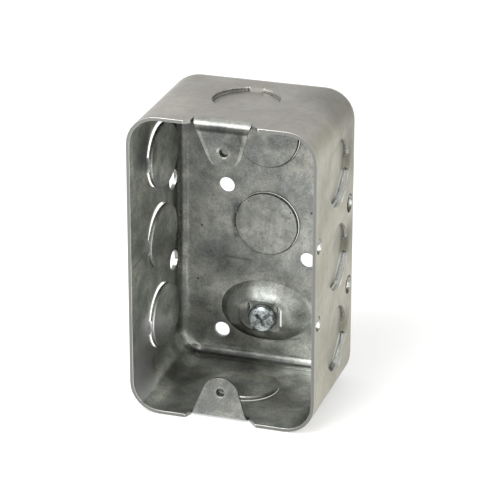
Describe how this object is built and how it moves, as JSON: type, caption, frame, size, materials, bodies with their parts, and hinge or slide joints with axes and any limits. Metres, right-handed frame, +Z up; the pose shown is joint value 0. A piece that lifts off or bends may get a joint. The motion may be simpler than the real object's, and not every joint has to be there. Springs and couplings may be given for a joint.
{
  "type": "handy box",
  "caption": "Drawn galvanised steel electrical utility box, open at the front, with folded device ears, round knockouts, mounting holes and a raised boss that carries a ground screw.",
  "frame": {"origin": "middle of the bottom end wall's outer face: centre of the bounding box in X and Y, at its lowest Z", "axes": "+Z up along the length of the box, -Y out of the open front, +Y towards the back, +X to the right as seen from the front"},
  "size_m": [0.0628, 0.048, 0.1032],
  "materials": {
    "galvanised_steel": "dull galvanised zinc on drawn steel sheet",
    "zinc_plated_screw": "bright zinc plate"
  },
  "bodies": {
    "root": {"box_body": "galvanised_steel", "ground_screw": "zinc_plated_screw"}
  },
  "joints": []
}
